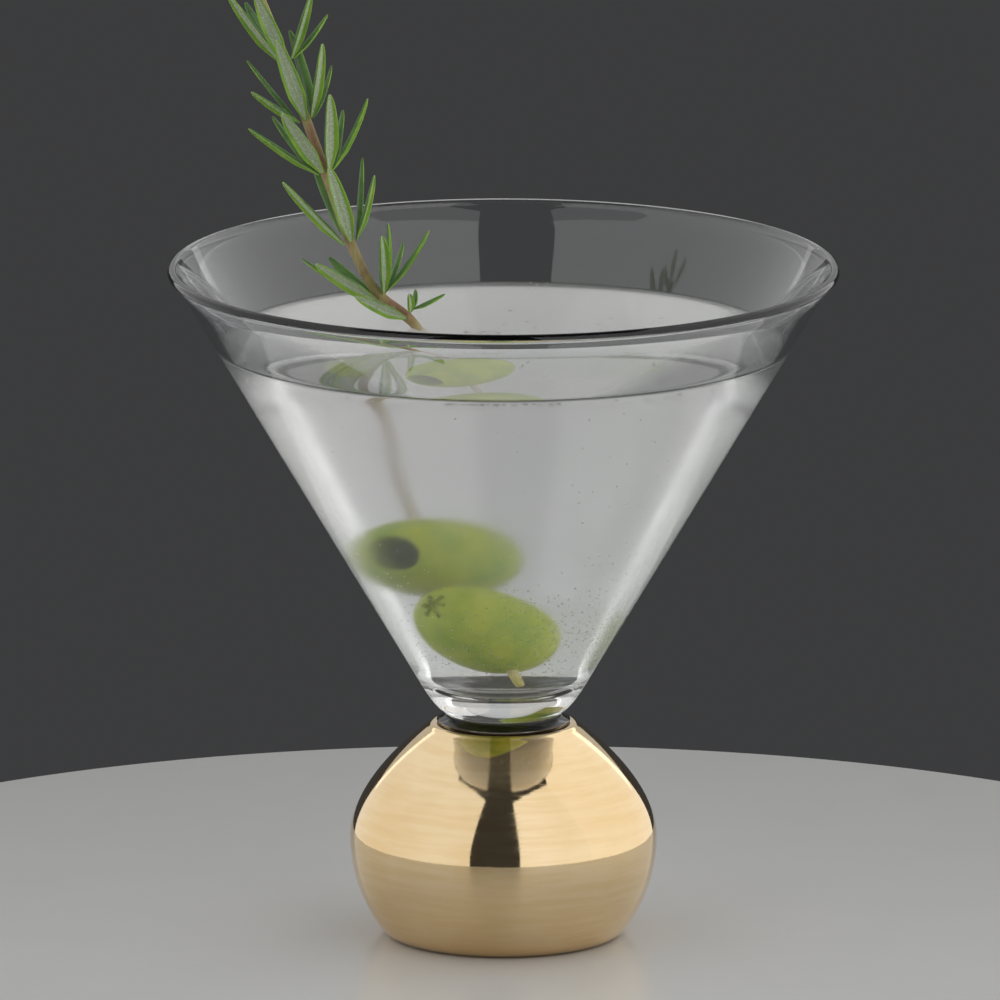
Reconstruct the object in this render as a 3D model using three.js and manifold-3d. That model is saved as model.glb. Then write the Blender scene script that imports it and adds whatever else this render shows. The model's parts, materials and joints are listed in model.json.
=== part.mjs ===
// Martini glass: a conical clear bowl standing on a gold-plated glass ball,
// served with a drink and two pitted olives threaded on a sprig of rosemary.
// Millimetres, +Z up. The origin is the centre of the flat that the ball stands on.

import * as THREE from "three";
import { mergeVertices } from "three/addons/utils/BufferGeometryUtils.js";
import Module from "manifold-3d";

const wasm = await Module();
wasm.setup();

// Bowl
const TOTAL_HEIGHT = 118;
const RIM_RADIUS = 58;
const LIP_RADIUS = 0.9;
const CONE_RADIUS_AT_LIP = 57.36;
const CONE_SLOPE = 0.5918;
const WALL = 1.63;
const LIP_FLARE_HEIGHT = 4;
const BASE_UNDERSIDE_Z = 39.3;
const BASE_RADIUS = 10.3;
const BASE_BLEND_Z = 45;
const WELL_FLOOR_Z = 44.6;
const WELL_BLEND_Z = 50;
const WELL_FLAT_RADIUS = 4;
const BOWL_SIDES = 52;

// Collar between bowl and ball
const COLLAR_TOP_Z = 39;
const COLLAR_TOP_RADIUS = 10.2;
const COLLAR_BOTTOM_Z = 37.9;
const COLLAR_BOTTOM_RADIUS = 11.7;

// Ball foot
const BALL_RADIUS = 26.57;
const BALL_CENTRE_Z = 17.31;
const FOOT_FLAT_RADIUS = 18.4;
const FOOT_EDGE_HEIGHT = 1.6;
const NECK_Z = 37.6;
const SHOULDER_PULL = 9.9;
const SHOULDER_END_PULL = [12.6, 38];
const SHOULDER_END = [9.8, 39.2];

// Drink
const DRINK_LEVEL_Z = 105.1;
const GAP = 0.3;
const STEM_ROOM = 0.35;

// Olives
const OLIVE_HALF_LENGTH = 11.2;
const OLIVE_HALF_WIDTH = 8;
const OLIVE_BLUNTNESS = 2.25;
const PIT_RADIUS = 3.3;
const PIT_DEPTH = 15;
const STAR_SLOT = [0.7, 5.2, 1.6];
const STAR_SLOTS = 3;
const FRONT_OLIVE = { centre: [-2.7, -3.7, 58.8], toward: [-0.695, -0.595, 0.405], starFirst: true };
const REAR_OLIVE = { centre: [-7.5, 11, 73.3], toward: [-0.59, -0.807, 0.026], starFirst: false };

// Rosemary
const STEM_RADIUS = 0.82;
const STEM_STEPS = 36;
const STEM_PATH = [
  [2.4, -4.3, 46.5],
  [0.6, -4, 52.3],
  [-2.2, -2.2, 59],
  [-5.4, 6, 67.5],
  [-7.6, 11.4, 74],
  [-9.8, 14.2, 82],
  [-11.9, 13.4, 91],
  [-14.8, 11.7, 105],
  [-21.3, 13.3, 109.6],
  [-26.5, 16, 118.6],
  [-30.7, 20, 130.2],
  [-34.1, 23, 138.8],
  [-37.6, 26, 148.7],
  [-42.6, 29.4, 160.5],
];
const LEAF_CLEARANCE = 0.55;
const LEAF_THICKNESS = 0.9;
const LEAF_SIDES = 6;

// Each whorl of leaves grows from one height of the stem.
// A leaf is given by how far its tip reaches from there, and its width.
const WHORLS = [
  {
    height: 106.6,
    leaves: [
      { reach: [-9.4, -4.6, 4.4], width: 2.4 },
      { reach: [0.4, -3.6, 4.6], width: 1.8 },
      { reach: [6.6, 0.6, 3.8], width: 2 },
      { reach: [1.6, 5.6, 3.4], width: 1.8 },
    ],
  },
  {
    height: 109.6,
    leaves: [
      { reach: [-11.6, -4.5, 7], width: 3 },
      { reach: [-14.5, 2, 6.2], width: 2.2 },
      { reach: [-9.3, 7, 5.4], width: 2.2 },
      { reach: [0.5, -5, 12.2], width: 3 },
      { reach: [2.4, 1.8, 13.2], width: 2 },
      { reach: [4.4, 7.6, 8.4], width: 2.2 },
      { reach: [9.6, -3.2, 12.2], width: 2.2 },
    ],
  },
  {
    height: 118.6,
    leaves: [
      { reach: [-3.4, -6, 14.8], width: 3.2 },
      { reach: [-12.4, -2, 11.4], width: 2.2 },
      { reach: [1.9, 6.5, 14.5], width: 2.2 },
      { reach: [5.1, -1, 12.4], width: 2.1 },
      { reach: [-6.5, 9, 12], width: 2.2 },
    ],
  },
  {
    height: 130.2,
    leaves: [
      { reach: [-14, -1, 8.3], width: 2.2 },
      { reach: [-7.8, -5.5, 12.4], width: 3.2 },
      { reach: [-9.8, 6.5, 9], width: 2.2 },
      { reach: [1, -4.6, 15.2], width: 3 },
      { reach: [2.6, 7.5, 10.2], width: 2.2 },
      { reach: [8.5, 0.5, 13], width: 2.2 },
    ],
  },
  {
    height: 138.8,
    leaves: [
      { reach: [-5.4, -5.6, 16.2], width: 3.4 },
      { reach: [-2.4, 7, 15.4], width: 3 },
      { reach: [3.6, -4, 14.6], width: 2.4 },
      { reach: [5.2, 4.5, 9], width: 2 },
      { reach: [-10, -3.5, 5.6], width: 2 },
      { reach: [-10.6, 4, 10.5], width: 2.2 },
    ],
  },
  {
    height: 148.7,
    leaves: [
      { reach: [-11, -3, 12.5], width: 2.4 },
      { reach: [-5.5, -6.5, 13.5], width: 3 },
      { reach: [4.6, -3.5, 13], width: 2.4 },
      { reach: [7.8, 1.6, 8], width: 2.2 },
      { reach: [-7.5, 6.5, 9.5], width: 2.2 },
    ],
  },
  {
    height: 159.2,
    leaves: [
      { reach: [-6.6, -2.4, 7.4], width: 1.8 },
      { reach: [-1, -4.6, 8.4], width: 1.8 },
      { reach: [3, 0.6, 7.6], width: 1.8 },
      { reach: [-2.4, 5, 7.2], width: 1.8 },
    ],
  },
];

// Materials

function clearGlass() {
  return new THREE.MeshStandardMaterial({
    color: 0xdfe6e8,
    roughness: 0.03,
    metalness: 0,
    transparent: true,
    opacity: 0.35,
  });
}

function collarGlass() {
  return new THREE.MeshStandardMaterial({
    color: 0xcfd9de,
    roughness: 0.05,
    metalness: 0,
    transparent: true,
    opacity: 0.45,
  });
}

function goldPlating() {
  return new THREE.MeshStandardMaterial({ color: 0xd8a85a, roughness: 0.08, metalness: 1 });
}

function mixedDrink() {
  return new THREE.MeshStandardMaterial({
    color: 0xd9dad6,
    roughness: 0.05,
    metalness: 0,
    transparent: true,
    opacity: 0.4,
  });
}

function oliveSkin() {
  return new THREE.MeshStandardMaterial({ color: 0x8c9a24, roughness: 0.35, metalness: 0 });
}

function stemBark() {
  return new THREE.MeshStandardMaterial({ color: 0xa08a5c, roughness: 0.7, metalness: 0 });
}

function leafGreen() {
  return new THREE.MeshStandardMaterial({ color: 0x5f7f45, roughness: 0.6, metalness: 0 });
}

// Solid helpers

function toSolid(geometry) {
  const plain = geometry.index ? geometry.toNonIndexed() : geometry.clone();
  plain.deleteAttribute("normal");
  plain.deleteAttribute("uv");
  const merged = mergeVertices(plain, 1e-5);
  const vertProperties = new Float32Array(merged.attributes.position.array);
  const triVerts = new Uint32Array(merged.index.array);
  return new wasm.Manifold(new wasm.Mesh({ numProp: 3, vertProperties, triVerts }));
}

function toGeometry(solid) {
  const mesh = solid.getMesh();
  const positions = new Float32Array(mesh.numVert * 3);
  for (let i = 0; i < mesh.numVert; i++) {
    for (let k = 0; k < 3; k++) {
      positions[3 * i + k] = mesh.vertProperties[mesh.numProp * i + k];
    }
  }
  const geometry = new THREE.BufferGeometry();
  geometry.setAttribute("position", new THREE.BufferAttribute(positions, 3));
  geometry.setIndex(new THREE.BufferAttribute(new Uint32Array(mesh.triVerts), 1));
  geometry.computeVertexNormals();
  return geometry;
}

// Turns a profile of [radius, height] points about the Z axis.
function turned(points, sides) {
  const profile = points.map(([r, z]) => new THREE.Vector2(r, z));
  const geometry = new THREE.LatheGeometry(profile, sides);
  geometry.rotateX(Math.PI / 2);
  return geometry;
}

function part(name, geometry, material) {
  const mesh = new THREE.Mesh(geometry, material);
  mesh.name = name;
  return mesh;
}

function along(curve, steps, from = 0, to = 1) {
  const points = [];
  for (let i = 0; i <= steps; i++) {
    const p = curve.getPoint(from + ((to - from) * i) / steps);
    points.push([p.x, p.y]);
  }
  return points;
}

function bend(start, pull, end, steps) {
  const curve = new THREE.QuadraticBezierCurve(
    new THREE.Vector2(...start),
    new THREE.Vector2(...pull),
    new THREE.Vector2(...end),
  );
  return along(curve, steps);
}

// Bowl

function outerCone(z) {
  return CONE_RADIUS_AT_LIP - (TOTAL_HEIGHT - LIP_RADIUS - z) * CONE_SLOPE;
}

function innerCone(z) {
  return outerCone(z) - WALL;
}

// The well's outline from the wall down to the axis, moved inward by the given gap.
function wellOutline(gap) {
  const start = [innerCone(WELL_BLEND_Z) - gap, WELL_BLEND_Z];
  const pull = [innerCone(WELL_FLOOR_Z) - gap, WELL_FLOOR_Z + gap];
  const end = [WELL_FLAT_RADIUS, WELL_FLOOR_Z + gap];
  return [...bend(start, pull, end, 5), [0, WELL_FLOOR_Z + gap]];
}

function makeBowl() {
  const lipZ = TOTAL_HEIGHT - LIP_RADIUS;
  const lipR = RIM_RADIUS - LIP_RADIUS;
  const flareZ = lipZ - LIP_FLARE_HEIGHT;
  const lip = [];
  for (let i = 0; i <= 6; i++) {
    const angle = THREE.MathUtils.degToRad(-30 + 180 * (i / 6));
    lip.push([lipR + LIP_RADIUS * Math.cos(angle), lipZ + LIP_RADIUS * Math.sin(angle)]);
  }
  const blendPull = [outerCone(41), 41];
  const profile = [
    [0, BASE_UNDERSIDE_Z],
    [BASE_RADIUS - 0.4, BASE_UNDERSIDE_Z],
    ...bend([BASE_RADIUS, BASE_UNDERSIDE_Z + 0.3], blendPull, [outerCone(BASE_BLEND_Z), BASE_BLEND_Z], 5),
    [outerCone(flareZ), flareZ],
    ...lip,
    [innerCone(flareZ), flareZ],
    ...wellOutline(0),
  ];
  return part("bowl", turned(profile, BOWL_SIDES), clearGlass());
}

function makeCollar() {
  const profile = [
    [0, COLLAR_BOTTOM_Z],
    [COLLAR_BOTTOM_RADIUS - 0.2, COLLAR_BOTTOM_Z],
    [COLLAR_BOTTOM_RADIUS, COLLAR_BOTTOM_Z + 0.15],
    [COLLAR_TOP_RADIUS, COLLAR_TOP_Z - 0.1],
    [COLLAR_TOP_RADIUS - 0.2, COLLAR_TOP_Z],
    [0, COLLAR_TOP_Z],
  ];
  return part("neck_collar", turned(profile, BOWL_SIDES), collarGlass());
}

// Ball foot: a flat, a small rounded edge, a sphere to its widest height, then a long shoulder.
function makeBallFoot() {
  const edgeAngle = Math.asin((FOOT_EDGE_HEIGHT - BALL_CENTRE_Z) / BALL_RADIUS);
  const edgeEnd = [BALL_RADIUS * Math.cos(edgeAngle), FOOT_EDGE_HEIGHT];
  const flatMeet = Math.sqrt(BALL_RADIUS ** 2 - BALL_CENTRE_Z ** 2);
  const sphere = [];
  for (let i = 1; i <= 7; i++) {
    const angle = edgeAngle * (1 - i / 7);
    sphere.push([BALL_RADIUS * Math.cos(angle), BALL_CENTRE_Z + BALL_RADIUS * Math.sin(angle)]);
  }
  const shoulder = new THREE.CubicBezierCurve(
    new THREE.Vector2(BALL_RADIUS, BALL_CENTRE_Z),
    new THREE.Vector2(BALL_RADIUS, BALL_CENTRE_Z + SHOULDER_PULL),
    new THREE.Vector2(...SHOULDER_END_PULL),
    new THREE.Vector2(...SHOULDER_END),
  );
  const shoulderPoints = along(shoulder, 14).filter(([, z]) => z < NECK_Z - 0.2).slice(1);
  const profile = [
    [0, 0],
    ...bend([FOOT_FLAT_RADIUS, 0], [flatMeet, 0], edgeEnd, 3),
    ...sphere,
    ...shoulderPoints,
    [shoulderPoints.at(-1)[0] - 0.6, NECK_Z],
    [0, NECK_Z],
  ];
  return part("ball_foot", turned(profile, BOWL_SIDES), goldPlating());
}

// Olives

// Plain olive about the Z axis, grown outward by the given gap.
function oliveBody(gap) {
  const points = [];
  const steps = 14;
  for (let i = 0; i <= steps; i++) {
    const angle = (Math.PI * i) / steps;
    const c = Math.cos(angle);
    const s = Math.abs(Math.sin(angle));
    const z = -(OLIVE_HALF_LENGTH + gap) * Math.sign(c) * Math.abs(c) ** (2 / OLIVE_BLUNTNESS);
    const r = (OLIVE_HALF_WIDTH + gap) * s ** (2 / OLIVE_BLUNTNESS);
    points.push([i === 0 || i === steps ? 0 : r, z]);
  }
  return turned(points, 24);
}

function olivePlace(olive) {
  const axis = new THREE.Vector3(...olive.toward).normalize();
  const turn = new THREE.Quaternion().setFromUnitVectors(new THREE.Vector3(0, 0, 1), axis);
  const centre = new THREE.Vector3(...olive.centre);
  return new THREE.Matrix4().compose(centre, turn, new THREE.Vector3(1, 1, 1));
}

function pitBore() {
  const top = OLIVE_HALF_LENGTH + 1;
  const bottom = OLIVE_HALF_LENGTH - PIT_DEPTH;
  const points = [
    [0, bottom],
    [PIT_RADIUS * 0.7, bottom + 0.8],
    [PIT_RADIUS, bottom + 2.6],
    [PIT_RADIUS, top],
    [0, top],
  ];
  return turned(points, 18);
}

// Three crossing slots leave the star that the pitting punch cuts.
function cutStar(solid) {
  const [width, length, depth] = STAR_SLOT;
  let result = solid;
  for (let i = 0; i < STAR_SLOTS; i++) {
    const slot = new THREE.BoxGeometry(width, length, depth * 2);
    slot.rotateZ((Math.PI * i) / STAR_SLOTS);
    slot.translate(0, 0, -OLIVE_HALF_LENGTH);
    result = result.subtract(toSolid(slot));
  }
  return result;
}

// The stem runs through both olives, so each has a hole for it besides its pit bore.
function makeOlive(name, olive) {
  const cored = cutStar(toSolid(oliveBody(0)).subtract(toSolid(pitBore())));
  const geometry = toGeometry(cored);
  if (olive.starFirst) {
    geometry.rotateX(Math.PI);
  }
  geometry.applyMatrix4(olivePlace(olive));
  const threaded = toSolid(geometry).subtract(toSolid(stemGeometry(STEM_RADIUS + GAP)));
  return part(name, toGeometry(threaded), oliveSkin());
}

// Rosemary

// The stem's centre line, started early by the given length below its cut end.
function stemCurve(lead = 0) {
  const points = STEM_PATH.map((p) => new THREE.Vector3(...p));
  const down = points[0].clone().sub(points[1]).normalize();
  points[0].addScaledVector(down, lead);
  return new THREE.CatmullRomCurve3(points, false, "centripetal");
}

function stemGeometry(radius, lead = 0) {
  const section = new THREE.Shape();
  const sides = 8;
  for (let i = 0; i < sides; i++) {
    const angle = (2 * Math.PI * i) / sides;
    const x = radius * Math.cos(angle);
    const y = radius * Math.sin(angle);
    if (i === 0) {
      section.moveTo(x, y);
    } else {
      section.lineTo(x, y);
    }
  }
  section.closePath();
  const extrudePath = stemCurve(lead);
  return new THREE.ExtrudeGeometry(section, { steps: STEM_STEPS, extrudePath, bevelEnabled: false });
}

function makeStem() {
  return part("rosemary_stem", stemGeometry(STEM_RADIUS), stemBark());
}

// Where the stem passes a height, and which way it runs there.
function stemAt(curve, height) {
  let low = 0;
  let high = 1;
  for (let i = 0; i < 30; i++) {
    const middle = (low + high) / 2;
    if (curve.getPoint(middle).z < height) {
      low = middle;
    } else {
      high = middle;
    }
  }
  return { point: curve.getPoint(low), tangent: curve.getTangent(low) };
}

// A flat spindle along +Y, pointed at both ends, widest a little past its middle.
function leafGeometry(length, width) {
  const half = width / 2;
  const profile = [
    [0, 0],
    [0.42, 0.03 * length],
    [half * 0.82, 0.24 * length],
    [half, 0.55 * length],
    [half * 0.86, 0.82 * length],
    [half * 0.45, 0.96 * length],
    [0, length],
  ].map(([r, y]) => new THREE.Vector2(r, y));
  const geometry = new THREE.LatheGeometry(profile, LEAF_SIDES);
  geometry.scale(1, 1, LEAF_THICKNESS / width);
  return geometry;
}

function makeLeaf(name, leaf, place) {
  const reach = new THREE.Vector3(...leaf.reach);
  const outward = reach.clone().projectOnPlane(place.tangent).normalize();
  const base = place.point.clone().addScaledVector(outward, STEM_RADIUS + LEAF_CLEARANCE);
  const along = place.point.clone().add(reach).sub(base);
  const length = along.length();
  along.normalize();
  const face = outward.clone().projectOnPlane(along).normalize();
  const side = along.clone().cross(face);
  const geometry = leafGeometry(length, leaf.width);
  const basis = new THREE.Matrix4().makeBasis(side, along, face).setPosition(base);
  geometry.applyMatrix4(basis);
  return part(name, geometry, leafGreen());
}

function makeLeaves() {
  const curve = stemCurve();
  const meshes = [];
  WHORLS.forEach((whorl, w) => {
    const place = stemAt(curve, whorl.height);
    whorl.leaves.forEach((leaf, i) => {
      meshes.push(makeLeaf(`leaf_${w + 1}_${i + 1}`, leaf, place));
    });
  });
  return meshes;
}

// Drink: fills the well, with room left for the skewered olives and the stem.
function makeDrink() {
  const profile = [
    [0, DRINK_LEVEL_Z],
    [innerCone(DRINK_LEVEL_Z) - GAP, DRINK_LEVEL_Z],
    ...wellOutline(GAP),
  ].reverse();
  let solid = toSolid(turned(profile, BOWL_SIDES));
  for (const olive of [FRONT_OLIVE, REAR_OLIVE]) {
    const room = oliveBody(GAP);
    room.applyMatrix4(olivePlace(olive));
    solid = solid.subtract(toSolid(room));
  }
  solid = solid.subtract(toSolid(stemGeometry(STEM_RADIUS + STEM_ROOM, STEM_ROOM)));
  return part("drink", toGeometry(solid), mixedDrink());
}

const martini = new THREE.Group();
martini.add(makeBallFoot());
martini.add(makeCollar());
martini.add(makeBowl());
martini.add(makeDrink());
martini.add(makeOlive("olive_front", FRONT_OLIVE));
martini.add(makeOlive("olive_rear", REAR_OLIVE));
martini.add(makeStem());
martini.add(...makeLeaves());

export default martini;
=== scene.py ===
import json
import math
import random
import bpy
import numpy as np
from mathutils import Matrix, Vector

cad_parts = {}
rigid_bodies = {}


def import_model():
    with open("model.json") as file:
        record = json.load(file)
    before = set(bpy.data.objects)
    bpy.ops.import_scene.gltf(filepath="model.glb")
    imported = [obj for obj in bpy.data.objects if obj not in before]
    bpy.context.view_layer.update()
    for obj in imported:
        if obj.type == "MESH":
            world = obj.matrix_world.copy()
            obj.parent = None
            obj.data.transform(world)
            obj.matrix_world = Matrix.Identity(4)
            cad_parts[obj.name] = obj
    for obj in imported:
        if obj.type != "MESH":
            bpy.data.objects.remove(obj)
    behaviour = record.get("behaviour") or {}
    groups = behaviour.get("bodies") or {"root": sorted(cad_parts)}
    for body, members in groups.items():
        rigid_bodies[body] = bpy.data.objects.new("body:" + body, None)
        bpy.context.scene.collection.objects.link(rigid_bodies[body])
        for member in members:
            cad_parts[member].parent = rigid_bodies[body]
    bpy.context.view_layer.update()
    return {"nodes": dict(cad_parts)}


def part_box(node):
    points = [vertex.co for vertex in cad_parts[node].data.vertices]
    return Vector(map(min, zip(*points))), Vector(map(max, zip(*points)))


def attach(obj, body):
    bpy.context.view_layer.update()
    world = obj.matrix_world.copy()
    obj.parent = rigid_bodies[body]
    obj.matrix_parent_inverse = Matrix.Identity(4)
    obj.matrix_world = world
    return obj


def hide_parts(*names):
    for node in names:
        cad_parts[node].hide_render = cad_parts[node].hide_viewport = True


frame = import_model()
mm = 0.001


# ---- small helpers used by every piece

def deselectAll():
    if bpy.context.object and bpy.context.object.mode != "OBJECT":
        bpy.ops.object.mode_set(mode="OBJECT")
    bpy.ops.object.select_all(action="DESELECT")


def makeActive(piece):
    deselectAll()
    piece.select_set(True)
    bpy.context.view_layer.objects.active = piece
    return piece


def pickVerts(piece, test):
    # selects the vertices that pass the test, and leaves the piece in edit mode
    makeActive(piece)
    bpy.ops.object.mode_set(mode="EDIT")
    bpy.ops.mesh.select_mode(type="VERT")
    bpy.ops.mesh.select_all(action="DESELECT")
    bpy.ops.object.mode_set(mode="OBJECT")
    for v in piece.data.vertices:
        v.select = test(v.co)
    bpy.ops.object.mode_set(mode="EDIT")


def fineSteps(outline, longest=2.2 * mm):
    # long straight runs get rings of their own, so that smooth shading stays true along them
    points = [outline[0]]
    for (r0, z0), (r1, z1) in zip(outline, outline[1:]):
        cuts = max(1, math.ceil(math.hypot(r1 - r0, z1 - z0) / longest))
        points += [(r0 + (r1 - r0) * i / cuts, z0 + (z1 - z0) * i / cuts) for i in range(1, cuts + 1)]
    return points


def turnOutline(name, outline, steps):
    # extrudes a line of (radius, height) points from the axis round to the axis, then spins it
    outline = fineSteps(outline)
    deselectAll()
    bpy.ops.mesh.primitive_plane_add(size=0.001)
    piece = bpy.context.object
    piece.name = name
    bpy.ops.object.mode_set(mode="EDIT")
    bpy.ops.mesh.select_all(action="SELECT")
    bpy.ops.mesh.merge(type="CENTER")
    bpy.ops.transform.translate(value=(outline[0][0], 0, outline[0][1]))
    for (r0, z0), (r1, z1) in zip(outline, outline[1:]):
        bpy.ops.mesh.extrude_vertices_move(TRANSFORM_OT_translate={"value": (r1 - r0, 0, z1 - z0)})
    bpy.ops.mesh.select_all(action="SELECT")
    bpy.ops.mesh.spin(steps=steps, angle=2 * math.pi, center=(0, 0, 0), axis=(0, 0, 1))
    bpy.ops.mesh.select_all(action="SELECT")
    bpy.ops.mesh.remove_doubles(threshold=2e-6)
    bpy.ops.mesh.normals_make_consistent(inside=False)
    bpy.ops.object.mode_set(mode="OBJECT")
    bpy.ops.object.shade_smooth_by_angle(angle=math.radians(42))
    return piece


def arc(centre, radius, start, end, steps):
    points = []
    for i in range(steps + 1):
        a = math.radians(start + (end - start) * i / steps)
        points.append((centre[0] + radius * math.cos(a), centre[1] + radius * math.sin(a)))
    return points


def curveThrough(pulls, steps):
    # Bezier curve of any degree through its first and last pull
    points = []
    for i in range(steps + 1):
        t = i / steps
        level = [Vector(p) for p in pulls]
        while len(level) > 1:
            level = [a.lerp(b, t) for a, b in zip(level, level[1:])]
        points.append((level[0].x, level[0].y))
    return points


def node(tree, kind, **settings):
    n = tree.nodes.new(kind)
    for key, value in settings.items():
        if key == "inputs":
            for name, v in value.items():
                n.inputs[name].default_value = v
        else:
            setattr(n, key, value)
    return n


def math2(tree, operation, a, b=None, clamp=False):
    n = node(tree, "ShaderNodeMath", operation=operation, use_clamp=clamp)
    for i, v in enumerate((a, b)):
        if v is None:
            continue
        if isinstance(v, (int, float)):
            n.inputs[i].default_value = v
        else:
            tree.links.new(v, n.inputs[i])
    return n.outputs[0]


def ramp(tree, value, low, high, outLow=0.0, outHigh=1.0, smooth=True):
    n = node(tree, "ShaderNodeMapRange", interpolation_type="SMOOTHSTEP" if smooth else "LINEAR")
    for i, v in enumerate((low, high, outLow, outHigh)):
        n.inputs[i + 1].default_value = v
    tree.links.new(value, n.inputs[0])
    return n.outputs[0]


def mixColour(tree, fac, a, b):
    n = node(tree, "ShaderNodeMix", data_type="RGBA")
    for socket, v in ((n.inputs[0], fac), (n.inputs[6], a), (n.inputs[7], b)):
        if isinstance(v, (int, float)):
            socket.default_value = v
        elif isinstance(v, tuple):
            socket.default_value = (*v, 1)
        else:
            tree.links.new(v, socket)
    return n.outputs[2]


def newMaterial(name):
    m = bpy.data.materials.new(name)
    m.use_nodes = True
    tree = m.node_tree
    tree.nodes.clear()
    out = node(tree, "ShaderNodeOutputMaterial")
    shader = node(tree, "ShaderNodeBsdfPrincipled")
    tree.links.new(shader.outputs[0], out.inputs[0])
    return m, tree, shader


def objectCoords(tree, scale=(1, 1, 1), turn=(0, 0, 0)):
    coords = node(tree, "ShaderNodeTexCoord")
    mapping = node(tree, "ShaderNodeMapping")
    mapping.inputs["Scale"].default_value = scale
    mapping.inputs["Rotation"].default_value = turn
    tree.links.new(coords.outputs["Object"], mapping.inputs["Vector"])
    return mapping.outputs[0]


def noise(tree, vector, scale, detail=3.0, rough=0.5, distort=0.0):
    n = node(tree, "ShaderNodeTexNoise")
    n.inputs["Scale"].default_value = scale
    n.inputs["Detail"].default_value = detail
    n.inputs["Roughness"].default_value = rough
    n.inputs["Distortion"].default_value = distort
    tree.links.new(vector, n.inputs["Vector"])
    return n.outputs[0]


def bump(tree, shader, height, strength, distance):
    n = node(tree, "ShaderNodeBump")
    n.inputs["Strength"].default_value = strength
    n.inputs["Distance"].default_value = distance
    tree.links.new(height, n.inputs["Height"])
    tree.links.new(n.outputs[0], shader.inputs["Normal"])


def letLightThrough(tree, shader, tint):
    # lamps shine straight through the clear body, so what is inside it is lit
    out = next(n for n in tree.nodes if n.bl_idname == "ShaderNodeOutputMaterial")
    path = node(tree, "ShaderNodeLightPath")
    clear = node(tree, "ShaderNodeBsdfTransparent")
    clear.inputs[0].default_value = (*tint, 1)
    mix = node(tree, "ShaderNodeMixShader")
    tree.links.new(path.outputs["Is Shadow Ray"], mix.inputs[0])
    tree.links.new(shader.outputs[0], mix.inputs[1])
    tree.links.new(clear.outputs[0], mix.inputs[2])
    tree.links.new(mix.outputs[0], out.inputs["Surface"])
    return out


def dress(piece, material):
    piece.data.materials.clear()
    piece.data.materials.append(material)


# ---- speck group: tiny round bubbles or droplets, shared by the glass and the drink

def makeSpeckGroup():
    group = bpy.data.node_groups.new("tinyDroplets", "ShaderNodeTree")
    group.interface.new_socket("Vector", in_out="INPUT", socket_type="NodeSocketVector")
    group.interface.new_socket("Scale", in_out="INPUT", socket_type="NodeSocketFloat")
    group.interface.new_socket("Share", in_out="INPUT", socket_type="NodeSocketFloat")
    group.interface.new_socket("Droplets", in_out="OUTPUT", socket_type="NodeSocketFloat")
    inside = node(group, "NodeGroupInput")
    outside = node(group, "NodeGroupOutput")
    cells = node(group, "ShaderNodeTexVoronoi", feature="F1")
    group.links.new(inside.outputs["Vector"], cells.inputs["Vector"])
    group.links.new(inside.outputs["Scale"], cells.inputs["Scale"])
    dome = ramp(group, cells.outputs["Distance"], 0.12, 0.34, 1.0, 0.0)
    split = node(group, "ShaderNodeSeparateColor")
    group.links.new(cells.outputs["Color"], split.inputs[0])
    keep = math2(group, "LESS_THAN", split.outputs[0], inside.outputs["Share"])
    size = ramp(group, split.outputs[1], 0.0, 1.0, 0.35, 1.0, smooth=False)
    kept = math2(group, "MULTIPLY", dome, keep)
    group.links.new(math2(group, "MULTIPLY", kept, size), outside.inputs["Droplets"])
    return group


speckGroup = makeSpeckGroup()


def specks(tree, vector, scale, share):
    g = node(tree, "ShaderNodeGroup", node_tree=speckGroup)
    tree.links.new(vector, g.inputs["Vector"])
    g.inputs["Scale"].default_value = scale
    if isinstance(share, (int, float)):
        g.inputs["Share"].default_value = share
    else:
        tree.links.new(share, g.inputs["Share"])
    return g.outputs["Droplets"]


# ---- bowl

bowlShape = {
    "lipRadius": 0.9 * mm,
    "coneAtLip": 57.36 * mm,      # radius the straight cone would reach at the lip's centre
    "slope": 0.5918,              # radius gained for each unit of height
    "wall": 1.63 * mm,            # measured level, so the glass itself is about 1.4 mm
    "flareHeight": 4 * mm,
    "flarePull": (1.6 * mm, 1.2 * mm),    # how far below the lip the outer and inner flares turn
    "baseRadius": 10.3 * mm,
    "bellyHeight": 41 * mm,
    "baseBlend": 45 * mm,
    "wellFloor": 44.6 * mm,
    "wellBlend": 50 * mm,
    "wellFlat": 4 * mm,
    "steps": 192,
    "frostTop": 104.5 * mm,       # chilled glass is dull up to the drink
    "frostRoughness": 0.2,
}
bowlLow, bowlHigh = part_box("bowl")


def outerCone(z):
    return bowlShape["coneAtLip"] - (bowlHigh.z - bowlShape["lipRadius"] - z) * bowlShape["slope"]


def innerCone(z):
    return outerCone(z) - bowlShape["wall"]


def wellOutline(grow):
    b = bowlShape
    start = (innerCone(b["wellBlend"]) + grow, b["wellBlend"])
    corner = (innerCone(b["wellFloor"]) + grow, b["wellFloor"] - grow)
    return curveThrough([start, corner, (b["wellFlat"], corner[1])], 14) + [(0, corner[1])]


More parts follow.
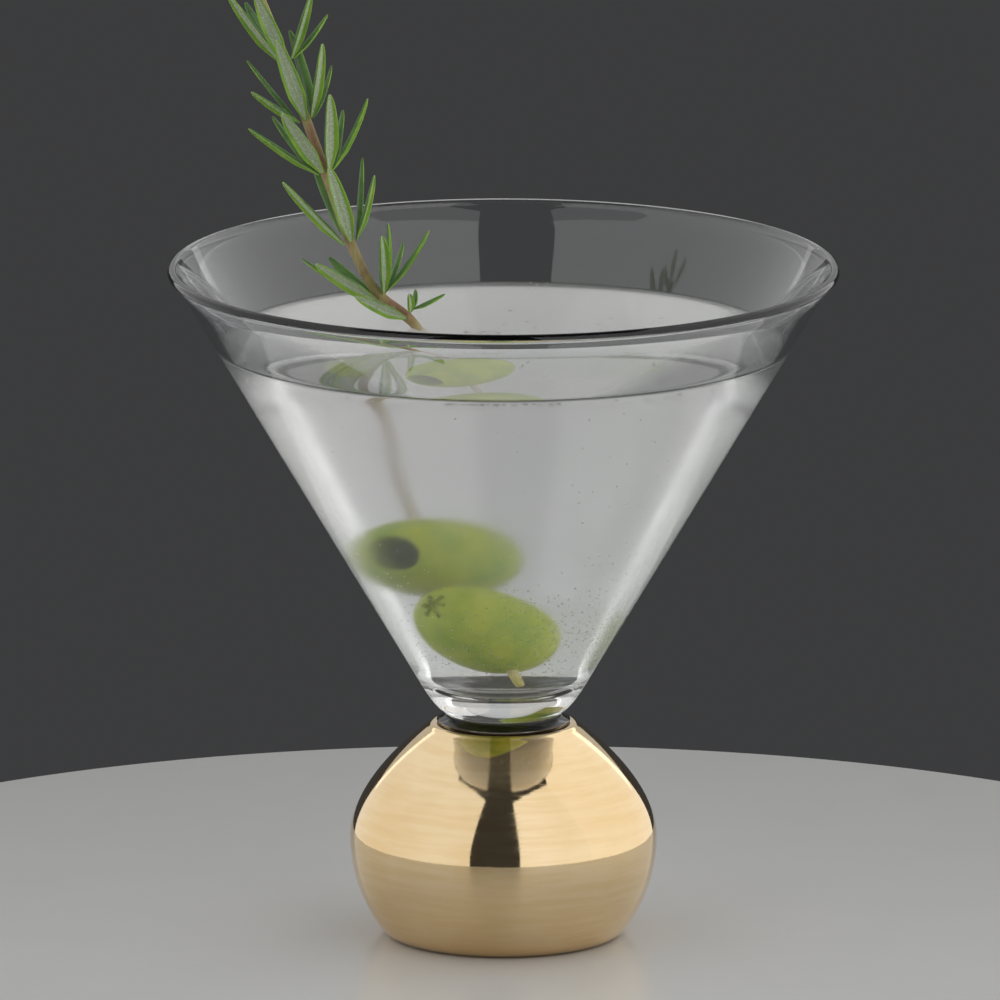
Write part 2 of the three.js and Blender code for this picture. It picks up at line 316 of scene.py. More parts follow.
def makeBowl():
    b = bowlShape
    lip = (bowlHigh.x - b["lipRadius"], bowlHigh.z - b["lipRadius"])
    flareZ = lip[1] - b["flareHeight"]
    firstLip = arc(lip, b["lipRadius"], -28, 152, 14)
    outZ, inZ = (lip[1] - pull for pull in b["flarePull"])
    flareOut = curveThrough([(outerCone(flareZ), flareZ), (outerCone(outZ), outZ), firstLip[0]], 6)
    flareIn = curveThrough([firstLip[-1], (innerCone(inZ), inZ), (innerCone(flareZ), flareZ)], 6)
    foot = (b["baseRadius"], bowlLow.z)
    underEdge = (foot[0] + 0.35 * mm, foot[1] + 0.5 * mm)
    under = curveThrough([(foot[0] - 0.6 * mm, foot[1]), foot, underEdge], 4)
    bellyPull = (outerCone(b["bellyHeight"]), b["bellyHeight"])
    belly = curveThrough([under[-1], bellyPull, (outerCone(b["baseBlend"]), b["baseBlend"])], 8)
    outline = [(0, foot[1])] + under + belly[1:] + flareOut + firstLip[1:] + flareIn[1:] + wellOutline(0)
    bowl = turnOutline("bowlGlass", outline, b["steps"])
    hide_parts("bowl")
    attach(bowl, "glass")
    return bowl


def bowlMaterial():
    m, tree, shader = newMaterial("clearBlownGlass")
    shader.inputs["Transmission Weight"].default_value = 1
    shader.inputs["IOR"].default_value = 1.5
    place = objectCoords(tree)
    split = node(tree, "ShaderNodeSeparateXYZ")
    tree.links.new(place, split.inputs[0])
    x, y, z = split.outputs
    squares = math2(tree, "ADD", math2(tree, "MULTIPLY", x, x), math2(tree, "MULTIPLY", y, y))
    radius = math2(tree, "SQRT", squares)
    rise = math2(tree, "MULTIPLY", z, bowlShape["slope"])
    middle = math2(tree, "ADD", rise, outerCone(0) - bowlShape["wall"] / 2)
    outside = math2(tree, "GREATER_THAN", radius, middle)
    belowDrink = ramp(tree, z, bowlShape["frostTop"] - 1.5 * mm, bowlShape["frostTop"] + 0.5 * mm, 1, 0)
    aboveBase = ramp(tree, z, 46 * mm, 54 * mm, 0, 1)
    frost = math2(tree, "MULTIPLY", outside, math2(tree, "MULTIPLY", belowDrink, aboveBase))
    cloud = ramp(tree, noise(tree, place, 55, 4, 0.6, 0.4), 0.35, 0.7, 0.55, 1)
    smear = ramp(tree, noise(tree, objectCoords(tree, (1, 1, 0.25)), 160, 3), 0.3, 0.75, 0.01, 0.035)
    rough = math2(tree, "MULTIPLY", math2(tree, "MULTIPLY", frost, cloud), bowlShape["frostRoughness"])
    low = ramp(tree, z, 47 * mm, 76 * mm, 0.85, 0.03)
    rightSide = ramp(tree, x, -10 * mm, 26 * mm, 0.5, 1.1)
    patches = ramp(tree, noise(tree, place, 110, 3, 0.6), 0.4, 0.62, 0.15, 1.3)
    share = math2(tree, "MULTIPLY", math2(tree, "MULTIPLY", low, rightSide), patches)
    drops = specks(tree, place, 1700, share)
    drops = math2(tree, "MULTIPLY", drops, math2(tree, "MULTIPLY", outside, belowDrink))
    drops = math2(tree, "MULTIPLY", drops, aboveBase)
    rough = math2(tree, "ADD", rough, math2(tree, "MULTIPLY", drops, 0.8))
    tree.links.new(math2(tree, "ADD", rough, smear), shader.inputs["Roughness"])
    waves = noise(tree, objectCoords(tree, (1, 1, 0.4)), 28, 2)
    bump(tree, shader, math2(tree, "ADD", drops, math2(tree, "MULTIPLY", waves, 0.5)), 0.5, 0.1 * mm)
    tint = mixColour(tree, ramp(tree, noise(tree, place, 20, 2), 0.3, 0.7), (0.97, 0.985, 0.985), (1, 1, 1))
    tree.links.new(tint, shader.inputs["Base Color"])
    letLightThrough(tree, shader, (0.9, 0.91, 0.91))
    return m


bowl = makeBowl()
dress(bowl, bowlMaterial())
print("bowl done")


# ---- collar: short clear neck between bowl and ball

def makeCollar():
    low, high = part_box("neck_collar")
    skirt = [(high.x - 0.5 * mm, low.z), (high.x, low.z), (high.x - 0.2 * mm, low.z + 0.25 * mm)]
    brow = [(high.x - 1.4 * mm, high.z - 0.25 * mm), (high.x - 1.6 * mm, high.z), (high.x - 2 * mm, high.z)]
    outline = [(0, low.z)] + curveThrough(skirt, 4) + curveThrough(brow, 4) + [(0, high.z)]
    collar = turnOutline("collarGlass", outline, 160)
    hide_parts("neck_collar")
    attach(collar, "glass")
    return collar


def collarMaterial():
    m, tree, shader = newMaterial("collarGlass")
    shader.inputs["Transmission Weight"].default_value = 1
    shader.inputs["IOR"].default_value = 1.5
    streak = noise(tree, objectCoords(tree, (1, 1, 6)), 90, 3)
    tree.links.new(ramp(tree, streak, 0.3, 0.7, 0.02, 0.09), shader.inputs["Roughness"])
    tint = mixColour(tree, ramp(tree, streak, 0.3, 0.7), (0.88, 0.80, 0.62), (0.97, 0.93, 0.84))
    tree.links.new(tint, shader.inputs["Base Color"])
    bump(tree, shader, streak, 0.25, 0.1 * mm)
    return m


dress(makeCollar(), collarMaterial())
print("collar done")


# ---- ball foot: plated glass

ballShape = {
    "radius": 26.57 * mm,
    "centreZ": 17.31 * mm,
    "flat": 18.4 * mm,
    "edgeHeight": 1.6 * mm,
    "shoulderPull": 9.9 * mm,
    "endPull": (12.6 * mm, 38 * mm),
    "end": (9.8 * mm, 39.2 * mm),
    "steps": 192,
}


def makeBall():
    b = ballShape
    low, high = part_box("ball_foot")
    c = b["centreZ"]
    edge = math.asin((b["edgeHeight"] - c) / b["radius"])
    edgeEnd = (b["radius"] * math.cos(edge), b["edgeHeight"])
    flatMeet = math.sqrt(b["radius"] ** 2 - c ** 2)
    foot = curveThrough([(b["flat"], low.z), (flatMeet, low.z), edgeEnd], 8)
    sphere = arc((0, c), b["radius"], math.degrees(edge), 0, 26)
    pulls = [(b["radius"], c), (b["radius"], c + b["shoulderPull"]), b["endPull"], b["end"]]
    shoulder = curveThrough(pulls, 46)
    shoulder = [p for p in shoulder if p[1] < high.z - 0.25 * mm]
    last = shoulder[-1]
    crown = curveThrough([last, (last[0] - 0.3 * mm, high.z), (last[0] - 0.9 * mm, high.z)], 4)
    outline = [(0, low.z)] + foot + sphere[1:] + shoulder[1:] + crown[1:] + [(0, high.z)]
    ball = turnOutline("goldBall", outline, b["steps"])
    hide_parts("ball_foot")
    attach(ball, "glass")
    return ball


def goldMaterial():
    m, tree, shader = newMaterial("goldPlating")
    shader.inputs["Metallic"].default_value = 1
    place = objectCoords(tree)
    rings = noise(tree, objectCoords(tree, (0.12, 0.12, 1)), 2600, 3, 0.6)
    cloud = noise(tree, place, 60, 3)
    champagne = mixColour(tree, ramp(tree, cloud, 0.3, 0.7), (0.82, 0.61, 0.34), (0.88, 0.69, 0.43))
    streak = ramp(tree, noise(tree, objectCoords(tree, (0.08, 0.08, 1)), 900, 4, 0.6), 0.35, 0.7, 0, 0.35)
    champagne = mixColour(tree, streak, champagne, (0.74, 0.50, 0.22))
    tree.links.new(champagne, shader.inputs["Base Color"])
    fineRough = ramp(tree, rings, 0.35, 0.8, 0.035, 0.11)
    rough = math2(tree, "ADD", fineRough, ramp(tree, cloud, 0.4, 0.8, 0, 0.03))
    tree.links.new(rough, shader.inputs["Roughness"])
    ripple = noise(tree, objectCoords(tree, (0.35, 0.35, 1)), 240, 2)
    height = math2(tree, "ADD", math2(tree, "MULTIPLY", rings, 0.25), ripple)
    bump(tree, shader, height, 0.12, 0.1 * mm)
    return m


dress(makeBall(), goldMaterial())
print("ball done")


# ---- drink

drinkShape = {
    "overlap": 0.12 * mm,     # the drink wets the glass, so its skin lies just inside the wall
    "meniscus": 0.9 * mm,
    "steps": 192,
    "haze": 7.0,              # scattering per metre
    "hazeColour": (0.80, 0.83, 0.82),
    "hazeForward": 0.5,
}


def surfaceLevel():
    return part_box("drink")[1].z - drinkShape["meniscus"] * 0.55


def makeDrink():
    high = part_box("drink")[1]
    d = drinkShape
    level = surfaceLevel()
    wallTop = (innerCone(high.z) + d["overlap"], high.z)
    pulls = [(0, level), (wallTop[0] - 6 * mm, level), (wallTop[0] - 0.9 * mm, level), wallTop]
    surface = curveThrough(pulls, 18)
    outline = surface + wellOutline(d["overlap"])
    drink = turnOutline("martiniDrink", outline, d["steps"])
    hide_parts("drink")
    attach(drink, "glass")
    return drink


def drinkMaterial():
    m, tree, shader = newMaterial("cloudyDrink")
    shader.inputs["Transmission Weight"].default_value = 1
    shader.inputs["IOR"].default_value = 1.345
    place = objectCoords(tree)
    ripple = noise(tree, objectCoords(tree, (1, 1, 0.3)), 45, 3)
    tree.links.new(ramp(tree, ripple, 0.3, 0.8, 0.0, 0.03), shader.inputs["Roughness"])
    tint = mixColour(tree, ramp(tree, ripple, 0.3, 0.7), (0.975, 0.985, 0.96), (1, 1, 0.99))
    tree.links.new(tint, shader.inputs["Base Color"])
    bubbles = specks(tree, place, 900, 0.12)
    bump(tree, shader, math2(tree, "ADD", math2(tree, "MULTIPLY", ripple, 0.7), bubbles), 0.15, 0.1 * mm)
    out = letLightThrough(tree, shader, (0.9, 0.91, 0.9))
    haze = node(tree, "ShaderNodeVolumeScatter")
    haze.inputs["Color"].default_value = (*drinkShape["hazeColour"], 1)
    haze.inputs["Density"].default_value = drinkShape["haze"]
    haze.inputs["Anisotropy"].default_value = drinkShape["hazeForward"]
    tree.links.new(haze.outputs[0], out.inputs["Volume"])
    return m


dress(makeDrink(), drinkMaterial())
print("drink done")


# ---- bubbles afloat on the drink

bubbleField = {
    "raft": (-4 * mm, 8 * mm),        # most lie together here
    "raftSize": (3.2 * mm, 1.5 * mm),
    "inRaft": 26,
    "strays": 30,
    "reach": 34 * mm,
    "radius": (0.12 * mm, 0.42 * mm),
    "seed": 11,
}


def makeBubbles():
    f = bubbleField
    chance = random.Random(f["seed"])
    top = surfaceLevel()
    raftX, raftY = f["raft"]
    raftWide, raftDeep = f["raftSize"]
    places = []
    for i in range(f["inRaft"]):
        a, r = chance.uniform(0, 2 * math.pi), math.sqrt(chance.random())
        places.append((raftX + raftWide * r * math.cos(a), raftY + raftDeep * r * math.sin(a)))
    for i in range(f["strays"]):
        a, r = chance.uniform(0, 2 * math.pi), f["reach"] * math.sqrt(chance.random())
        places.append((r * math.cos(a), r * math.sin(a)))
    deselectAll()
    for x, y in places:
        r = chance.uniform(*f["radius"])
        spot = (x, y, top + r * 0.1)
        bpy.ops.mesh.primitive_uv_sphere_add(segments=14, ring_count=9, radius=r, location=spot)
        bubble = bpy.context.object
        bpy.ops.object.mode_set(mode="EDIT")
        bpy.ops.transform.resize(value=(1, 1, chance.uniform(0.6, 0.85)))
        bpy.ops.object.mode_set(mode="OBJECT")
        bubble.name = "bubble"
    for o in bpy.context.scene.objects:
        o.select_set(o.name.startswith("bubble"))
    bpy.ops.object.join()
    bubbles = bpy.context.object
    bubbles.name = "surfaceBubbles"
    bpy.ops.object.transform_apply(location=True, rotation=True, scale=True)
    bpy.ops.object.shade_smooth()
    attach(bubbles, "glass")
    return bubbles


def bubbleMaterial():
    m, tree, shader = newMaterial("thinBubble")
    shader.inputs["Transmission Weight"].default_value = 1
    shader.inputs["IOR"].default_value = 1.12
    film = noise(tree, objectCoords(tree), 900, 2)
    tree.links.new(mixColour(tree, film, (0.93, 0.95, 0.95), (1, 1, 1)), shader.inputs["Base Color"])
    tree.links.new(ramp(tree, film, 0.3, 0.7, 0.01, 0.06), shader.inputs["Roughness"])
    letLightThrough(tree, shader, (0.97, 0.97, 0.97))
    return m


dress(makeBubbles(), bubbleMaterial())
print("bubbles done")


# ---- olives

oliveShape = {
    "halfLength": 11.2 * mm,
    "halfWidth": 8 * mm,
    "bluntness": 2.25,
    "bore": 3.3 * mm,
    "boreDepth": 15 * mm,
    "starWidth": 1.0 * mm,
    "starLength": 6.0 * mm,
    "starDepth": 1.5 * mm,
    "steps": 72,
}
olives = {
    "olive_front": {"centre": (-2.7, -3.7, 58.8), "toward": (-0.695, -0.595, 0.405), "starFirst": True},
    "olive_rear": {"centre": (-7.5, 11, 73.3), "toward": (-0.59, -0.807, 0.026), "starFirst": False},
}


def makeOliveBlank():
    o = oliveShape
    power = 2 / o["bluntness"]
    side = []
    for i in range(40):
        a = math.pi * i / 39
        c = math.cos(a)
        r = o["halfWidth"] * abs(math.sin(a)) ** power
        side.append((r, -o["halfLength"] * math.copysign(abs(c) ** power, c)))
    side[0] = (0, -o["halfLength"])
    mouth = o["bore"] + 0.7 * mm
    side = [p for p in side if p[1] < 0 or p[0] > mouth]
    rimZ = side[-1][1]
    bottom = o["halfLength"] - o["boreDepth"]
    rim = [side[-1], (mouth - 0.2 * mm, rimZ + 0.35 * mm)]
    rim += [(o["bore"], rimZ - 0.1 * mm), (o["bore"], rimZ - 1.4 * mm)]
    rolled = curveThrough(rim, 6)
    well = curveThrough([(o["bore"], bottom + 3 * mm), (o["bore"], bottom), (0.5 * mm, bottom)], 6)
    olive = turnOutline("oliveBlank", side + rolled[1:] + well + [(0, bottom)], o["steps"])
    for i in range(3):
        deselectAll()
        spot = (0, 0, -o["halfLength"])
        bpy.ops.mesh.primitive_cube_add(size=1, location=spot, rotation=(0, 0, math.pi * i / 3 + 0.2))
        slot = bpy.context.object
        slot.scale = (o["starWidth"], o["starLength"] * (1 - 0.12 * i), o["starDepth"] * 2)
        makeActive(olive)
        cut = olive.modifiers.new("starCut", "BOOLEAN")
        cut.operation = "DIFFERENCE"
        cut.object = slot
        cut.solver = "EXACT"
        bpy.ops.object.modifier_apply(modifier=cut.name)
        bpy.data.objects.remove(slot)
    makeActive(olive)
    bpy.ops.object.shade_smooth_by_angle(angle=math.radians(50))
    return olive


def oliveMaterial():
    m, tree, shader = newMaterial("greenOliveSkin")
    place = objectCoords(tree)
    patch = noise(tree, place, 130, 3, 0.55, 0.3)
    fine = noise(tree, place, 900, 4, 0.6)
    colour = mixColour(tree, ramp(tree, patch, 0.35, 0.7), (0.44, 0.49, 0.010), (0.26, 0.38, 0.004))
    colour = mixColour(tree, ramp(tree, fine, 0.62, 0.78, 0, 0.5), colour, (0.5, 0.54, 0.06))
    tree.links.new(colour, shader.inputs["Base Color"])
    tree.links.new(ramp(tree, fine, 0.3, 0.8, 0.28, 0.5), shader.inputs["Roughness"])
    shader.inputs["Subsurface Weight"].default_value = 0.35
    shader.inputs["Subsurface Radius"].default_value = (1.0, 0.9, 0.25)
    shader.inputs["Subsurface Scale"].default_value = 1.5 * mm
    bump(tree, shader, math2(tree, "ADD", fine, math2(tree, "MULTIPLY", patch, 2)), 0.18, 0.1 * mm)
    return m


def placeOlives():
    blank = makeOliveBlank()
    skin = oliveMaterial()
    for name, o in olives.items():
        olive = blank if name == "olive_rear" else blank.copy()
        if olive is not blank:
            olive.data = blank.data.copy()
            bpy.context.scene.collection.objects.link(olive)
        olive.name = name + "_skin"
        axis = Vector(o["toward"]).normalized()
        turn = Vector((0, 0, 1)).rotation_difference(axis).to_matrix().to_4x4()
        if o["starFirst"]:
            turn = turn @ Matrix.Rotation(math.pi, 4, "X")
        makeActive(olive)
        olive.matrix_world = Matrix.Translation(Vector(o["centre"]) * mm) @ turn
        bpy.ops.object.transform_apply(location=True, rotation=True, scale=True)
        dress(olive, skin)
        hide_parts(name)
        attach(olive, "garnish")


placeOlives()
print("olives done")


# ---- rosemary stem

stemShape = {
    "grow": 0.07 * mm,
    "whorlHeights": [106.6, 109.6, 118.6, 130.2, 138.8, 148.7, 159.2],    # millimetres
    "whorlReach": 1.2 * mm,
    "whorlSwell": 0.22 * mm,
}


def makeStem():
    source = frame["nodes"]["rosemary_stem"]
    stem = source.copy()
    stem.data = source.data.copy()
    stem.name = "stemWood"
    stem.parent = None
    for key in list(stem.keys()):
        del stem[key]
    bpy.context.scene.collection.objects.link(stem)
    makeActive(stem)
    bpy.ops.object.mode_set(mode="EDIT")
    bpy.ops.mesh.select_all(action="SELECT")
    bpy.ops.mesh.remove_doubles(threshold=1e-6)
    bpy.ops.mesh.tris_convert_to_quads()
    bpy.ops.mesh.select_all(action="DESELECT")
    bpy.ops.object.mode_set(mode="OBJECT")
    for h in stemShape["whorlHeights"]:
        pickVerts(stem, lambda co: abs(co.z - h * mm) < stemShape["whorlReach"])
        bpy.ops.transform.shrink_fatten(value=stemShape["whorlSwell"])
    pickVerts(stem, lambda co: True)
    bpy.ops.transform.shrink_fatten(value=stemShape["grow"])
    bpy.ops.object.mode_set(mode="OBJECT")
    smooth = stem.modifiers.new("round", "SUBSURF")
    smooth.levels = smooth.render_levels = 2
    bpy.ops.object.modifier_apply(modifier=smooth.name)
    bpy.ops.object.shade_smooth()
    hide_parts("rosemary_stem")
    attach(stem, "garnish")
    return stem


def stemMaterial():
    m, tree, shader = newMaterial("rosemaryStem")
    along = objectCoords(tree, (1, 1, 0.18), (0.22, 0.3, 0))
    fibre = noise(tree, along, 2600, 3, 0.6)
    patch = noise(tree, objectCoords(tree), 260, 3)
    split = node(tree, "ShaderNodeSeparateXYZ")
    tree.links.new(objectCoords(tree), split.inputs[0])
    wood = mixColour(tree, ramp(tree, patch, 0.35, 0.65), (0.30, 0.155, 0.085), (0.36, 0.30, 0.11))
    wood = mixColour(tree, ramp(tree, fibre, 0.5, 0.75, 0, 0.6), wood, (0.55, 0.43, 0.26))
    soaked = ramp(tree, split.outputs[2], 100 * mm, 106 * mm, 1, 0)
    colour = mixColour(tree, soaked, wood, mixColour(tree, fibre, (0.70, 0.60, 0.52), (0.80, 0.73, 0.66)))
    cutEnd = ramp(tree, split.outputs[2], 47 * mm, 58 * mm, 1, 0)
    colour = mixColour(tree, cutEnd, colour, (0.70, 0.62, 0.22))
    tree.links.new(colour, shader.inputs["Base Color"])
    shader.inputs["Roughness"].default_value = 0.6
    bump(tree, shader, fibre, 0.5, 0.12 * mm)
    return m


dress(makeStem(), stemMaterial())
print("stem done")


# ---- rosemary leaves

leafShape = {
    "columns": 12,
    "rows": 26,
    "thickness": 0.2 * mm,
    "rollDepth": 0.30,        # how far the margins curl under, as a share of the half width
    "groove": 0.09,
    "curl": (-0.09, 0.04),    # how far the tip leans outward, as a share of the length
    "fit": (1.12, 0.955, 1.2),    # width, length and depth, against the width and length of the CAD leaf
    "seed": 7,
}


def makeLeafBlank():
    # one leaf 1 long and 1 wide, lying along +Y with its pale side up
    s = leafShape
    deselectAll()
    grid = {"x_subdivisions": s["columns"], "y_subdivisions": s["rows"]}
    bpy.ops.mesh.primitive_grid_add(size=1, location=(0, 0.5, 0), **grid)
    leaf = bpy.context.object
    leaf.name = "leafBlank"
    bpy.ops.object.transform_apply(location=True)
    sheet = leaf.data
    uv = sheet.uv_layers.active or sheet.uv_layers.new(name="leafMap")
    uv.name = "leafMap"
    for row in range(s["rows"] + 1):
        y = row / s["rows"]
        swell = math.sin(math.pi * min(1, y * 1.02) ** 0.75) ** 0.42 if 0 < y < 0.98 else 0.12
        base = 0.22 + 0.78 * min(1, y / 0.3) ** 0.8
        pickVerts(leaf, lambda co: abs(co.y - y) < 0.004)
        bpy.ops.transform.resize(value=(max(0.1, swell * base), 1, 1), center_override=(0, y, 0))
        bpy.ops.object.mode_set(mode="OBJECT")
    # columns: margins roll over towards the pale side, a groove runs down the middle
    uvAcross = {}
    for v in sheet.vertices:
        row = [w.co.x for w in sheet.vertices if abs(w.co.y - v.co.y) < 0.004]
        half = max(row)
        t = v.co.x / half if half else 0
        uvAcross[v.index] = t
        edge = max(0, abs(t) - 0.62) / 0.38
        lift = s["rollDepth"] * edge ** 1.4 * 1.6 + s["groove"] * math.exp(-(t / 0.13) ** 2)
        v.co.z = half * (lift - 0.12 * (1 - t * t))
        v.co.x = half * math.copysign(abs(t) - 0.16 * edge ** 2, t)
    for loop in sheet.loops:
        v = sheet.vertices[loop.vertex_index]
        uv.data[loop.index].uv = (0.5 + 0.5 * uvAcross[v.index], v.co.y)
    return leaf


def leafFrame(name, stemPoints):
    # a leaf's foot, direction, width direction and length from its CAD solid
    co = np.array([v.co for v in frame["nodes"][name].data.vertices])
    co = np.unique(np.round(co, 6), axis=0)
    centre = co.mean(0)
    _, vectors = np.linalg.eigh(np.cov((co - centre).T))
    face = Vector(vectors[:, 0])
    spread = (co - centre) @ vectors[:, 2]
    ends = [co[spread.argmin()], co[spread.argmax()]]
    near = [np.linalg.norm(stemPoints - e, axis=1).min() for e in ends]
    foot, tip = (ends[0], ends[1]) if near[0] < near[1] else (ends[1], ends[0])
    along = Vector(tip - foot)
    length = along.length
    along.normalize()
    nearest = stemPoints[np.linalg.norm(stemPoints - centre, axis=1).argmin()]
    outward = Vector(centre - nearest)
    if face.dot(outward) < 0:
        face = -face
    face = (face - along * face.dot(along)).normalized()
    across = along.cross(face)
    width = float(np.ptp((co - centre) @ np.array(across)))
    return Vector(foot), along, across, face, length, width


def leafMaterial():
    m, tree, shader = newMaterial("rosemaryLeaf")
    coords = node(tree, "ShaderNodeTexCoord")
    split = node(tree, "ShaderNodeSeparateXYZ")
    tree.links.new(coords.outputs["UV"], split.inputs[0])
    t = math2(tree, "ABSOLUTE", math2(tree, "SUBTRACT", split.outputs[0], 0.5))
    side = node(tree, "ShaderNodeAttribute", attribute_name="paleSide").outputs["Fac"]
    place = objectCoords(tree)
    patch = noise(tree, place, 300, 3)
    felt = noise(tree, place, 3800, 3, 0.7)
    cells = node(tree, "ShaderNodeTexVoronoi", feature="DISTANCE_TO_EDGE")
    cells.inputs["Scale"].default_value = 2600
    tree.links.new(place, cells.inputs["Vector"])
    net = ramp(tree, cells.outputs["Distance"], 0.02, 0.16, 1, 0)
    dark = mixColour(tree, ramp(tree, patch, 0.3, 0.7), (0.055, 0.15, 0.030), (0.11, 0.25, 0.045))
    dark = mixColour(tree, ramp(tree, net, 0, 1, 0, 0.25), dark, (0.2, 0.34, 0.1))
    pale = mixColour(tree, ramp(tree, felt, 0.3, 0.7), (0.42, 0.50, 0.34), (0.74, 0.79, 0.66))
    pale = mixColour(tree, ramp(tree, net, 0, 1, 0, 0.45), pale, (0.25, 0.33, 0.16))
    margin = ramp(tree, t, 0.27, 0.34, 0, 1)
    rib = ramp(tree, t, 0.015, 0.05, 1, 0)
    bright = mixColour(tree, ramp(tree, patch, 0.3, 0.7), (0.22, 0.42, 0.05), (0.36, 0.56, 0.08))
    pale = mixColour(tree, margin, pale, bright)
    pale = mixColour(tree, math2(tree, "MULTIPLY", rib, 0.7), pale, (0.40, 0.47, 0.22))
    colour = mixColour(tree, side, dark, pale)
    tree.links.new(colour, shader.inputs["Base Color"])
    tree.links.new(ramp(tree, side, 0, 1, 0.42, 0.75), shader.inputs["Roughness"])
    shader.inputs["Subsurface Weight"].default_value = 0.15
    shader.inputs["Subsurface Radius"].default_value = (0.4, 0.8, 0.2)
    shader.inputs["Subsurface Scale"].default_value = 0.4 * mm
    height = math2(tree, "ADD", math2(tree, "MULTIPLY", felt, 0.5), net)
    bump(tree, shader, height, 0.5, 0.06 * mm)
    return m


def placeLeaves():
    s = leafShape
    chance = random.Random(s["seed"])
    blank = makeLeafBlank()
    green = leafMaterial()
    stemPoints = np.array([v.co for v in frame["nodes"]["rosemary_stem"].data.vertices])
    names = sorted(n for n in frame["nodes"] if n.startswith("leaf_"))
    for name in names:
        foot, along, across, face, length, width = leafFrame(name, stemPoints)
        leaf = blank.copy()
        leaf.data = blank.data.copy()
        leaf.name = name + "_blade"
        bpy.context.scene.collection.objects.link(leaf)
        makeActive(leaf)
        leaf.scale = (width * s["fit"][0], length * s["fit"][1], width * s["fit"][2])
        bpy.ops.object.transform_apply(scale=True)
        solid = leaf.modifiers.new("thickness", "SOLIDIFY")
        solid.thickness = s["thickness"]
        solid.offset = -1
        bpy.ops.object.modifier_apply(modifier=solid.name)
        bpy.ops.object.mode_set(mode="EDIT")
        bpy.ops.mesh.select_all(action="SELECT")
        bpy.ops.mesh.normals_make_consistent(inside=False)
        bpy.ops.object.mode_set(mode="OBJECT")
        curl = chance.uniform(*s["curl"])
        for v in leaf.data.vertices:
            v.co.z += curl * v.co.y ** 2 / length
        smooth = leaf.modifiers.new("smooth", "SUBSURF")
        smooth.levels = smooth.render_levels = 1
        bpy.ops.object.modifier_apply(modifier=smooth.name)
        bpy.ops.object.shade_smooth()
        faces = leaf.data.polygons
        pale = leaf.data.attributes.new("paleSide", "FLOAT", "FACE")
        pale.data.foreach_set("value", [1.0 if poly.normal.z > 0.05 else 0.0 for poly in faces])
        turn = Matrix((across, along, face)).transposed().to_4x4()
        leaf.matrix_world = Matrix.Translation(foot) @ turn
        bpy.ops.object.transform_apply(location=True, rotation=True, scale=True)
        dress(leaf, green)
        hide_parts(name)
        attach(leaf, "garnish")
    bpy.data.objects.remove(blank)


placeLeaves()
print("leaves done")


# ---- stage, lights and camera

stageLook = {
    "tableRadius": 0.15,
    "tableDepth": 0.02,
    "tableEdge": 0.003,
    "tableColour": (0.6, 0.597, 0.585),
    "tableGrain": (0.64, 0.636, 0.625),
    "tableRoughness": 0.3,
    "backdropColour": (0.045, 0.0455, 0.047),
}


def makeTable():
    deselectAll()
    radius, depth = stageLook["tableRadius"], stageLook["tableDepth"]
    spot = (0, 0, -depth / 2)
    bpy.ops.mesh.primitive_cylinder_add(vertices=160, radius=radius, depth=depth, location=spot)
    table = bpy.context.object
    table.name = "table"
    edge = table.modifiers.new("edge", "BEVEL")
    edge.width = stageLook["tableEdge"]
    edge.segments = 4
    bpy.ops.object.modifier_apply(modifier=edge.name)
    bpy.ops.object.shade_smooth_by_angle(angle=math.radians(40))
    m, tree, shader = newMaterial("paleTable")
    grain = noise(tree, objectCoords(tree), 60, 4)
    colour = mixColour(tree, grain, stageLook["tableColour"], stageLook["tableGrain"])
    tree.links.new(colour, shader.inputs["Base Color"])
    shader.inputs["Roughness"].default_value = stageLook["tableRoughness"]
    dress(table, m)


makeTable()

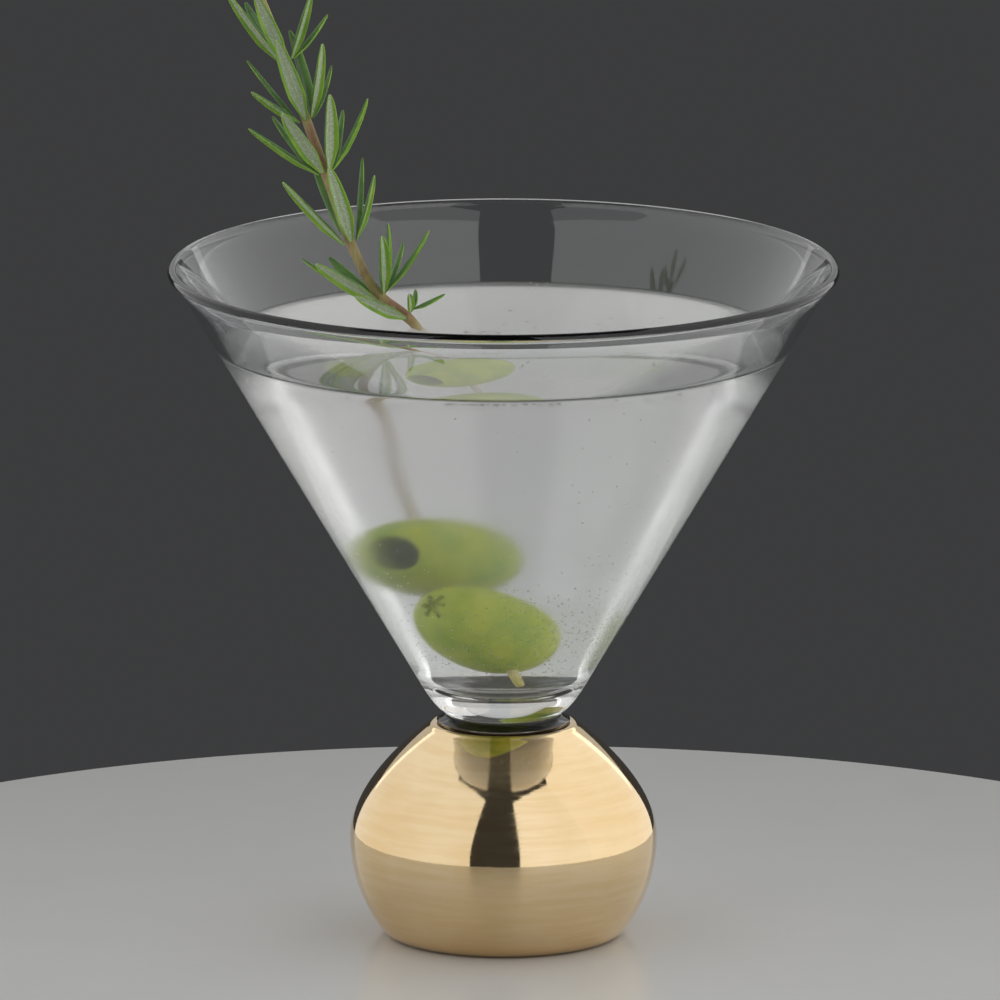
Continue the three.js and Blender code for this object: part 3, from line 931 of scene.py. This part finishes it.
# tall screens round the glass
# angle is measured from the camera's side in degrees, and foot is the height each starts at in metres
softBoxes = {
    # name: angle, spread, distance, foot, height, radiance
    "leftFront": (-50, 50.5, 0.8, -0.2, 1.05, 0.88),
    "leftFrontHigh": (-50, 50.5, 0.8, 0.85, 0.75, 0.88),
    "leftBack": (-112, 73.5, 0.711, -0.2, 1.8, 0.86),
    "rightFront": (40, 55.5, 0.8, -0.2, 1.05, 1.0),
    "rightFrontHigh": (40, 55.5, 0.8, 0.85, 0.75, 1.0),
    "rightBack": (109, 82.5, 0.682, -0.2, 1.8, 1.05),
    "behind": (180, 70, 0.9, 0.2, 0.85, 0.5),
}


def makeLights():
    for name, (angle, spread, distance, foot, height, radiance) in softBoxes.items():
        data = bpy.data.lights.new(name + "SoftBox", "AREA")
        data.shape = "RECTANGLE"
        data.size = 2 * distance * math.tan(math.radians(spread / 2))
        data.size_y = height
        data.energy = radiance * math.pi * data.size * data.size_y
        lamp = bpy.data.objects.new(name + "SoftBox", data)
        turn = math.radians(angle)
        lamp.location = (distance * math.sin(turn), -distance * math.cos(turn), foot + height / 2)
        lamp.rotation_euler = (math.radians(90), 0, turn)
        lamp.visible_camera = False
        bpy.context.scene.collection.objects.link(lamp)
    world = bpy.data.worlds.new("studio")
    world.use_nodes = True
    world.node_tree.nodes["Background"].inputs[0].default_value = (*stageLook["backdropColour"], 1)
    world.node_tree.nodes["Background"].inputs[1].default_value = 1
    bpy.context.scene.world = world
    bpy.context.scene.view_settings.view_transform = "Standard"


makeLights()

cameraLook = {
    "distance": 5.5,
    "elevation": 12.3,
    "aim": (-0.6 * mm, 0, 76.7 * mm),
    "frameWidth": 172.7 * mm,      # width seen at the glass
}


def makeCamera():
    c = cameraLook
    tilt = math.radians(c["elevation"])
    aim = Vector(c["aim"])
    data = bpy.data.cameras.new("camera")
    data.sensor_width = 36
    data.angle = 2 * math.atan(c["frameWidth"] / 2 / c["distance"])
    data.clip_end = 50
    camera = bpy.data.objects.new("camera", data)
    camera.location = aim + c["distance"] * Vector((0, -math.cos(tilt), math.sin(tilt)))
    camera.rotation_euler = (aim - camera.location).to_track_quat("-Z", "Y").to_euler()
    bpy.context.scene.collection.objects.link(camera)
    bpy.context.scene.camera = camera


makeCamera()
print("stage, lights and camera done")
